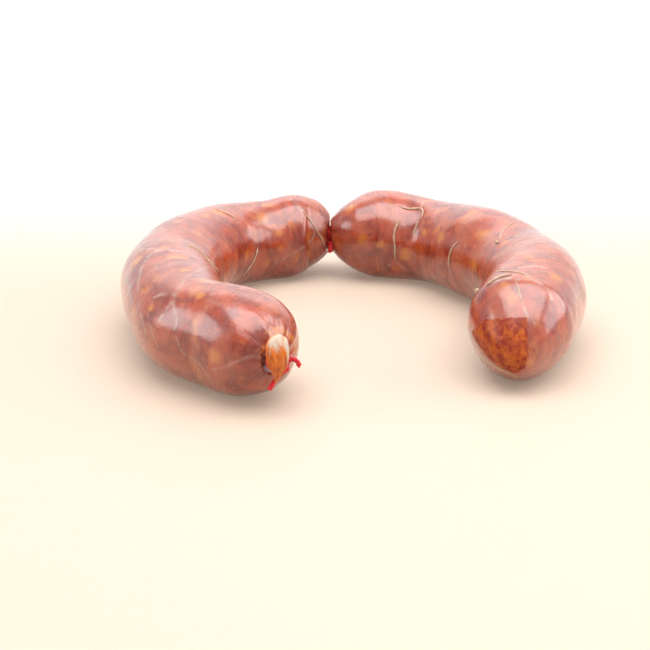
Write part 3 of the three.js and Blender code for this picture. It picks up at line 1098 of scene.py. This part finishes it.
# %% Tie the string round both necks
WIND_RADIUS = NECK_RADIUS + GAP + STRING_RADIUS
TURNS_APART = 1.6
CURVE_STEPS = 60
CUT_END_STEPS, CUT_END_FRAY = 16, 0.35
KNOT_SIZE, KNOT_DEPTH = 0.38, 0.9
MIDDLE_CUT_ENDS = [[(5.0, -7.6, -0.4), (4.2, -5.6, -0.2)], [(7.0, -6.4, 0.5), (5.2, -4.8, 0.3)]]
END_CUT_ENDS = [
    [(8.0, -3.4, 2.6), (6.8, -1.2, 2.4), (5.2, -0.6, 1.2), (4.2, -2.2, 0.3)],
    [(-3.6, -9.4, 0.2), (-1.2, -6.9, 0.3), (1.6, -4.9, 0.3)],
]
UP = np.array([0, 0, 1.0])


def tie_frame(origin, side, out):
    """A tie's own place and directions: to its side, and outwards along the neck."""
    parts = {"origin": origin, "side": side, "out": out}
    return {key: np.array(value, float) for key, value in parts.items()}


def in_frame(frame, side, up, out):
    """A place on a tie, by steps to its side, up, and outwards along the neck."""
    return frame["origin"] + side * frame["side"] + up * UP + out * frame["out"]


end_out = np.append(left["ahead"], 0)
end_side = np.cross(UP, end_out)
end_place = (*left["end"], LEFT_FINISH["height"]) - LEFT_FINISH["aside"] * end_side
middle_tie = tie_frame((*TIE, MIDDLE_END["height"]), (0, -1, 0), (1, 0, 0))
end_tie = tie_frame(end_place, end_side, end_out)


def knot_route(frame):
    """A trefoil as large as the knot."""
    t = np.linspace(0, 2 * math.pi, CURVE_STEPS)
    a = KNOT_SIZE * (np.sin(t) + 2 * np.sin(2 * t))
    b = KNOT_SIZE * (np.cos(t) - 2 * np.cos(2 * t))
    c = KNOT_DEPTH * np.sin(3 * t)
    return [in_frame(frame, KNOT_SIDE + x, KNOT_UP + y, z) for x, y, z in zip(a, b, c)]


def turn_route(frame, out):
    """One closed turn round the neck."""
    places = []
    for angle in np.linspace(0, 2 * math.pi, CURVE_STEPS):
        side, up = WIND_RADIUS * math.cos(angle), WIND_RADIUS * math.sin(angle)
        places.append(in_frame(frame, side, up, out))
    return places


def tie(name, frame, cut_ends):
    """Two turns, a knot and two frayed ends, as one piece of string."""
    outs = (-TURNS_APART / 2, TURNS_APART / 2)
    parts = [twisted_string(turn_route(frame, out)) for out in outs]
    parts.append(twisted_string(knot_route(frame)))
    knot = in_frame(frame, KNOT_SIDE, KNOT_UP, 0)
    for steps in cut_ends:
        places = [in_frame(frame, *step) for step in steps] + [knot]
        parts.append(twisted_string(smooth_through(places, CUT_END_STEPS), fray=CUT_END_FRAY))
    return make_piece(name, *joined(parts), "string")


string_middle = tie("string_middle", middle_tie, MIDDLE_CUT_ENDS)
string_end = tie("string_end", end_tie, END_CUT_ENDS)
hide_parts("tie_middle")
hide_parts("tie_end")
print("faces in the ties:", len(string_middle.data.polygons), len(string_end.data.polygons))

# %% [markdown]
# ## Red string
#
# Cotton scatters light softly and has a fuzz of short hairs, so the shader is rough with a little
# sheen. Fine noise along the strands breaks up the even red, and grease darkens it in places.

# %% The string's material
DARK_THREAD = (0.50, 0.003, 0.008, 1)
BRIGHT_THREAD = (0.80, 0.022, 0.028, 1)
GREASY_THREAD = (0.28, 0.003, 0.006, 1)
HAIRS, HAIR_BUMP = (2600.0, 3.0, 0.7), (0.5, 0.15 * MM)
GREASE, GREASE_STEP = (260.0, 2.0), (0.5, 0.7, 0.0, 0.45)


def string_material():
    """Rough red cotton with fine hairs and greasy places."""
    material, tree, cotton = new_material("red_string")
    place = node(tree, "TexCoord").outputs["Object"]
    hairs = noise(tree, place, *HAIRS)
    colour = mixed(tree, hairs, DARK_THREAD, BRIGHT_THREAD)
    grease = ramp(tree, noise(tree, place, *GREASE), *GREASE_STEP)
    fill(tree, cotton, {
        "Base Color": mixed(tree, grease, colour, GREASY_THREAD),
        "Normal": bumped(tree, hairs, *HAIR_BUMP),
        "Roughness": 0.8,
        "Sheen Weight": 0.15,
    })
    return material


red_string = string_material()
string_middle.data.materials.append(red_string)
string_end.data.materials.append(red_string)
print("string is finished")

# %% [markdown]
# ## The tail of casing
#
# Beyond the end tie a bit of empty casing is left. It swells in water and folds over the knot like
# a small petal: two white lobes above, a point below, stained orange by paprika oil. Cloth
# simulation would give some folded flap, but not this one, so a ball is drawn out into its shape by
# the same formula as the solid's, with finer folds.

# %% Shape the tail
TAIL_RISE, TAIL_DROP = 10, 7.2
TAIL_HALF_WIDTH = 5.6
TAIL_POINT_SHARE = 0.3
TAIL_ASIDE = 1.9
TAIL_TOP_ASIDE = 2.2
TAIL_HALF_THICKNESS = 1
TAIL_STANDS_OUT = 3.8
TAIL_TOP_LEAN, TAIL_POINT_LEAN, TAIL_SIDE_LEAN = 0.026, 0.042, 0.028
TAIL_PARTING_DEPTH = 0.8
TAIL_LOWER_LOBE = 1
TAIL_FOLD_DEPTH = 0.35
TAIL_PARTING, PARTING_WIDTH, PARTING_THINS = 0.3, 0.17, 0.6
FOLD_WAVES, FINE_FOLD_WAVES, FINE_FOLD_DEPTH = 9, 23, 0.12
FINE_FOLD_SLANT, FINE_FOLD_RISE, FOLD_FADE = 4, (0.7, -0.6), 0.4
WIDENING_RISE, PARTING_RISE = (-1, 0.6), (0.1, 0.9)
LOWER_LOBE_ACROSS, LOWER_LOBE_RISE = (0.2, 0.55), (0, 0.8)
TAIL_BLUNTNESS = 0.4
POINT_THICKNESS, LOBE_THICKENING = 0.75, 0.7
TAIL_ROWS, TAIL_SIDES, POLE = 90, 120, 0.02
NECK_ROWS, NECK_SIDES = 24, 72
NECK_SHARE, NECK_FOLDS, NECK_FOLD_DEPTH, NECK_TWIST = 0.92, 7, 0.16, 0.8


def smooth_step(value, low, high):
    """Nought below low, one above high, and smooth between them."""
    t = np.clip((value - low) / (high - low), 0, 1)
    return t * t * (3 - 2 * t)


def tail_shape(across, rise, through):
    """Places on the flap, from places on a ball of radius one."""
    upper = smooth_step(rise, *WIDENING_RISE)
    half_width = TAIL_HALF_WIDTH * (TAIL_POINT_SHARE + (1 - TAIL_POINT_SHARE) * upper)
    parting = np.exp(-(((across - TAIL_PARTING) / PARTING_WIDTH) ** 2))
    parting = parting * smooth_step(rise, *PARTING_RISE)
    fold = TAIL_FOLD_DEPTH * np.cos(FOLD_WAVES * across) * abs(through) * (1 - FOLD_FADE * upper)
    fine = FINE_FOLD_DEPTH * np.cos(FINE_FOLD_WAVES * across + FINE_FOLD_SLANT * rise)
    fold = fold + fine * abs(through) * smooth_step(rise, *FINE_FOLD_RISE)
    local = across * half_width
    side = local - TAIL_ASIDE + TAIL_TOP_ASIDE * np.clip(rise, 0, 1) ** 2
    rounded = (1 + TAIL_BLUNTNESS) * rise - TAIL_BLUNTNESS * rise**3
    blunt = np.where(rise > 0, TAIL_RISE * rounded, TAIL_DROP * rise)
    lower = smooth_step(across, *LOWER_LOBE_ACROSS) * smooth_step(rise, *LOWER_LOBE_RISE)
    up = blunt - TAIL_PARTING_DEPTH * parting - TAIL_LOWER_LOBE * lower
    lean = np.where(rise > 0, TAIL_TOP_LEAN, TAIL_POINT_LEAN) * up**2 + TAIL_SIDE_LEAN * local**2
    thickness = TAIL_HALF_THICKNESS * (POINT_THICKNESS + LOBE_THICKENING * upper)
    thickness = thickness - PARTING_THINS * parting
    return side, up, TAIL_STANDS_OUT - lean + through * thickness + fold


def rows_and_sides(first, last, rows, sides):
    """A grid of rows from first to last, and of angles round each row."""
    angles = np.linspace(0, 2 * math.pi, sides, endpoint=False)
    return np.meshgrid(np.linspace(first, last, rows), angles, indexing="ij")


def closed_grid(frame, side, up, out):
    """Points and faces of a closed grid, from steps in a tie's frame."""
    points = in_frame(frame, side[..., None], up[..., None], out[..., None])
    return points.reshape(-1, 3), closed_faces(*side.shape)


def tail_piece(frame):
    """The flap, and the twisted neck that it hangs from."""
    tall, wide = rows_and_sides(POLE, math.pi - POLE, TAIL_ROWS, TAIL_SIDES)
    across, rise, through = np.sin(tall) * np.cos(wide), np.cos(tall), np.sin(tall) * np.sin(wide)
    flap = closed_grid(frame, *tail_shape(across, rise, through))
    reach, angle = rows_and_sides(GAP / 2, TAIL_STANDS_OUT, NECK_ROWS, NECK_SIDES)
    radius = NECK_SHARE * NECK_RADIUS
    radius = radius + NECK_FOLD_DEPTH * np.cos(NECK_FOLDS * angle + NECK_TWIST * reach)
    neck = closed_grid(frame, radius * np.cos(angle), radius * np.sin(angle), reach)
    piece = make_piece("tail_of_casing", *joined([flap, neck]), "tail")
    spread = np.stack([across, rise, through], -1).reshape(-1, 3)
    store(piece, "spread", np.vstack([spread, np.zeros((NECK_ROWS * NECK_SIDES, 3))]))
    return piece


tail = tail_piece(end_tie)
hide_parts("casing_tail")
print("faces in the tail:", len(tail.data.polygons))

# %% [markdown]
# ## Soaked casing, stained by oil
#
# The lobes are nearly white and smooth. Oil has run down from between them, so the lower half is
# orange with brown blotches, and so are the rim and the parting. The stain follows the flap's own
# form, which is kept for each point, and noise makes its edge ragged.

# %% The tail's material
SOAKED_WHITE = (0.52, 0.41, 0.31, 1)
OILY_ORANGE = (0.56, 0.135, 0.005, 1)
OILY_BROWN = (0.38, 0.070, 0.003, 1)
BLOTCHES, BLOTCH_STEP = (3.0, 4.0), (0.40, 0.65)
RAGGED_EDGE = (2.6, 5.0, 0.65)
LOWER_LOBE_STEP, WHITE_STEP = (0.35, 0.60, 0.0, 0.45), (0.32, 0.62)
PARTING_STEP, RIM_STEP = (0.14, 0.03, 0.0, 0.35), (0.42, 0.10, 0.0, 0.85)
CREASE_STRETCH, CREASES, CREASE_BUMP = (9, 2.2, 3), (1.0, 4.0), (0.5, 0.5 * MM)


def tail_colour(tree, spread):
    """White lobes above, orange and brown below, on the rim and in the parting."""
    across, rise, through = node(tree, "SeparateXYZ", {0: spread}).outputs
    blotches = ramp(tree, noise(tree, spread, *BLOTCHES), *BLOTCH_STEP)
    ragged = centred(tree, noise(tree, spread, *RAGGED_EDGE))
    lobes = plus(tree, plus(tree, rise, ragged), ramp(tree, across, *LOWER_LOBE_STEP))
    colour = mixed(tree, blotches, OILY_ORANGE, OILY_BROWN)
    colour = mixed(tree, ramp(tree, lobes, *WHITE_STEP), colour, SOAKED_WHITE)
    parting = maths(tree, "ABSOLUTE", maths(tree, "SUBTRACT", across, TAIL_PARTING))
    colour = mixed(tree, ramp(tree, parting, *PARTING_STEP), colour, OILY_ORANGE)
    rim = ramp(tree, maths(tree, "ABSOLUTE", through), *RIM_STEP)
    return mixed(tree, rim, colour, OILY_ORANGE)


def tail_material():
    """Soft soaked casing, moist and a little translucent."""
    material, tree, skin = new_material("soaked_casing")
    spread = kept(tree, "spread", "Vector")
    creased = node(tree, "Mapping", {"Vector": spread, "Scale": CREASE_STRETCH}).outputs[0]
    fill(tree, skin, {
        "Base Color": tail_colour(tree, spread),
        "Normal": bumped(tree, noise(tree, creased, *CREASES), *CREASE_BUMP),
        "Roughness": 0.4,
        "IOR": 1.35,
        "Coat Weight": 0.4,
        "Coat Roughness": 0.15,
        "Subsurface Weight": 0.35,
        "Subsurface Radius": (1.0, 0.5, 0.3),
        "Subsurface Scale": 1.2 * MM,
    })
    return material


tail.data.materials.append(tail_material())
print("tail is finished")

# %% [markdown]
# ## Loose threads of casing
#
# Torn threads of casing lie on the skin and dry to cream. They are thin raised cords that taper at
# their ends, thick enough to catch the light, so they are real tubes, partly sunk into the skin. A
# few follow the picture, and the others are seeded walks, as the veins are.

# %% Where the threads lie, and how thick they are
THREADS_LEFT = [
    ([(205, 259), (209, 262), (215, 265)], 0.44),
    ([(258, 246), (256, 255), (252, 263), (248, 269), (243, 275)], 0.42),
    ([(215, 209), (225, 213), (233, 217), (237, 221)], 0.32),
    ([(302, 211), (312, 223), (319, 234), (323, 241), (325, 247)], 0.34),
    ([(209, 263), (216, 268), (219, 272)], 0.26),
]
THREADS_RIGHT = [
    ([(399, 206), (408, 209), (421, 209), (423, 212), (421, 218)], 0.48),
    ([(419, 219), (416, 227), (413, 235)], 0.30),
    ([(400, 220), (396, 227), (394, 237), (395, 249), (395, 261)], 0.42),
    ([(460, 241), (454, 246), (450, 254), (449, 263), (450, 270)], 0.42),
    ([(496, 242), (500, 240), (501, 234), (507, 227), (515, 222)], 0.32),
    ([(486, 286), (493, 281), (501, 277), (512, 275)], 0.55),
    ([(474, 289), (478, 291)], 0.85),
    ([(496, 242), (499, 243)], 0.65),
    ([(516, 282), (519, 292), (522, 303)], 0.28),
]
THREAD_STEP, THREAD_LIFT, THREAD_CURVE_STEPS = 0.35, 0.25, 14
THREAD_WAVES = ((0.16, 23, 9), (0.1, 51, 0))
TAPER_STEEPNESS, THINNEST = 4.5, 0.25


def tapered(route, radius):
    """An uneven cord along a route, thinner towards its ends."""
    route = even(route, THREAD_STEP)
    share = np.linspace(0, 1, len(route))
    uneven = 1 + sum(tall * np.sin(wave * share + at * radius) for tall, wave, at in THREAD_WAVES)
    taper = np.clip(TAPER_STEEPNESS * np.minimum(share, 1 - share), 0, 1 - THINNEST) + THINNEST
    return tube(route, radius * uneven * taper)


def thread(piece, pixels, radius):
    """A thread along a route of pixels, partly sunk into the skin."""
    places, normals = cast_route(piece, pixels, THREAD_CURVE_STEPS)
    return tapered(places + normals * radius * THREAD_LIFT, radius)


print("threads that show:", len(THREADS_LEFT) + len(THREADS_RIGHT))

# %% Lay the threads on the skin
SEEDED_THREADS = 7
SEEDED_STEPS, SEEDED_RADII = (10, 30), (0.25, 0.45)
SEEDED_CORNERS, SEEDED_CURVE_STEPS = 5, 10
THREAD_LEAN, THREAD_LEAN_KEPT, THREAD_LEAN_CHANGE = 0.8, 0.9, 0.15
THREAD_MARGIN, THREAD_END_MARGIN = 60, 10
LOWEST_THREAD = 6


def wandering_threads(link, seed):
    """Seeded threads on the sides that the picture doesn't show."""
    rng = np.random.default_rng(seed)
    rings, sides = link["points"].shape[:2]
    parts = []
    while len(parts) < SEEDED_THREADS:
        ring, turn_at = rng.uniform(THREAD_MARGIN, rings - THREAD_MARGIN), rng.uniform(0, sides)
        lean, way, places = rng.normal(0, THREAD_LEAN), rng.choice((-1, 1)), []
        for _ in range(int(rng.uniform(*SEEDED_STEPS))):
            lean = THREAD_LEAN_KEPT * lean + rng.normal(0, THREAD_LEAN_CHANGE)
            ring = np.clip(ring + lean, THREAD_END_MARGIN, rings - THREAD_END_MARGIN)
            turn_at = turn_at + way
            places.append(link["points"][int(ring), int(turn_at) % sides])
        places = np.array(places)
        sight = places.mean(0) - np.array(CAMERA_PLACE) / MM
        outward = places.mean(0) - link["points"][int(ring)].mean(0)
        if outward @ sight > 0 and places[:, 2].min() > LOWEST_THREAD:
            corners = places[:: max(1, len(places) // SEEDED_CORNERS)]
            route = smooth_through(corners, SEEDED_CURVE_STEPS)
            parts.append(tapered(route, rng.uniform(*SEEDED_RADII)))
    return parts


threads = [thread(left_piece, route, radius) for route, radius in THREADS_LEFT]
threads += [thread(right_piece, route, radius) for route, radius in THREADS_RIGHT]
threads += wandering_threads(left, 31) + wandering_threads(right, 32)
thread_piece = make_piece("threads_of_casing", *joined(threads), "casing")
print("threads:", len(threads), "with faces:", len(thread_piece.data.polygons))

# %% The threads' material
THREAD_CREAM = (0.39, 0.235, 0.15, 1)
THREAD_PALE = (0.52, 0.385, 0.275, 1)
PALE_PLACES = 420.0


def thread_material():
    """Dried casing, cream with paler places."""
    material, tree, cord = new_material("dried_thread")
    place = node(tree, "TexCoord").outputs["Object"]
    fill(tree, cord, {
        "Base Color": mixed(tree, noise(tree, place, PALE_PLACES), THREAD_CREAM, THREAD_PALE),
        "Roughness": 0.45,
        "Subsurface Weight": 0.3,
        "Subsurface Scale": 0.8 * MM,
    })
    return material


thread_piece.data.materials.append(thread_material())
print("threads are finished")

# %% [markdown]
# ## Floor and light
#
# A plain pale floor stands in for the table and sweeps up behind as a backdrop. It is cream near
# the links and white further back, and it glows a little, like a light table, which keeps the
# shadows under the links soft and light. A single lamp would leave hard shadows and small
# highlights. The soft highlights with straight edges come from three large lamps: one above, and a
# panel on either side. A fourth one faces backwards and lights the backdrop.

# %% Lay the floor
FLOOR_REACH = 3
FLOOR_ENDS = 0.8
SWEEP, SWEEP_STEPS = 0.6, 24
BACKDROP_TOP = 2
CREAM_TO_WHITE = (0.05, 0.35)
FLOOR_CREAM, FLOOR_WHITE = (0.43, 0.340, 0.270, 1), (0.44, 0.44, 0.44, 1)
GLOW_CREAM, GLOW_WHITE = (0.21, 0.172, 0.135, 1), (0.25, 0.25, 0.25, 1)

bend = np.linspace(0, math.pi / 2, SWEEP_STEPS)
curve = zip(FLOOR_ENDS + SWEEP * np.sin(bend), SWEEP * (1 - np.cos(bend)))
profile = [(-FLOOR_REACH, 0), *curve, (FLOOR_ENDS + SWEEP, BACKDROP_TOP)]
floor_mesh = bpy.data.meshes.new("floor")
corners = [(x, y, z) for x in (-FLOOR_REACH, FLOOR_REACH) for y, z in profile]
faces = [(i, i + 1, i + 1 + len(profile), i + len(profile)) for i in range(len(profile) - 1)]
floor_mesh.from_pydata(corners, [], faces)
floor_mesh.shade_smooth()
floor = bpy.data.objects.new("floor", floor_mesh)
bpy.context.scene.collection.objects.link(floor)
floor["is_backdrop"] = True


def floor_material():
    """Pale matt paint that glows a little."""
    material, tree, paint = new_material("pale_floor")
    place = node(tree, "SeparateXYZ", {0: node(tree, "TexCoord").outputs["Object"]})
    to_white = ramp(tree, place.outputs["Y"], *CREAM_TO_WHITE)
    fill(tree, paint, {
        "Base Color": mixed(tree, to_white, FLOOR_CREAM, FLOOR_WHITE),
        "Roughness": 0.7,
        "Emission Color": mixed(tree, to_white, GLOW_CREAM, GLOW_WHITE),
        "Emission Strength": 1.0,
    })
    return material


floor_mesh.materials.append(floor_material())
print("faces in the floor:", len(faces))

# %% Hang the lamps
LAMPS = [
    ("lamp_above", (0.1, -0.10, 0.85), (0.1, -0.10, 0), 1.3, 0.78, 14.0),
    ("panel_left", (-0.85, 0.0, 0.32), (-0.05, 0.0, 0.03), 0.40, 0.45, 1.9),
    ("panel_right", (0.80, 0.05, 0.40), (0.05, 0, 0.03), 0.8, 0.5, 4.2),
    ("lamp_behind", (0, 0.95, 1.3), (0, 2.4, 0.8), 2.2, 0.5, 34.0),
]


def lamp(name, place, towards, width, height, watts):
    """A flat lamp at a place, which shines towards another."""
    data = bpy.data.lights.new(name, "AREA")
    data.shape = "RECTANGLE"
    data.size, data.size_y, data.energy = width, height, watts
    made = bpy.data.objects.new(name, data)
    made.location = place
    made.rotation_euler = (Vector(towards) - Vector(place)).to_track_quat("-Z", "Y").to_euler()
    bpy.context.scene.collection.objects.link(made)


for settings in LAMPS:
    lamp(*settings)
print("lamps:", [settings[0] for settings in LAMPS])

# %% Surroundings, a little brighter and cooler behind
AIR_IN_FRONT, AIR_BEHIND = (0.62, 0.60, 0.60, 1), (0.68, 0.69, 0.74, 1)
FRONT_TO_BACK = (-0.25, 0.35)

world = bpy.data.worlds.new("studio")
bpy.context.scene.world = world
world.use_nodes = True
sky = world.node_tree
looking = node(sky, "SeparateXYZ", {0: node(sky, "TexCoord").outputs["Generated"]})
tone = mixed(sky, ramp(sky, looking.outputs["Y"], *FRONT_TO_BACK), AIR_IN_FRONT, AIR_BEHIND)
fill(sky, sky.nodes["Background"], {"Color": tone})
bpy.context.scene.view_settings.view_transform = "Standard"
print("surroundings:", world.name)

# %% [markdown]
# ## The size
#
# The dressed links are meant to keep the size of the imported model, so both boxes are printed.

# %% Print both boxes and finish
boxes = {"cad": cad_box, "visual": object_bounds()}
for name, (low, high) in boxes.items():
    print(name, "box in mm:", [round(1000 * (b - a), 1) for a, b in zip(low, high)])
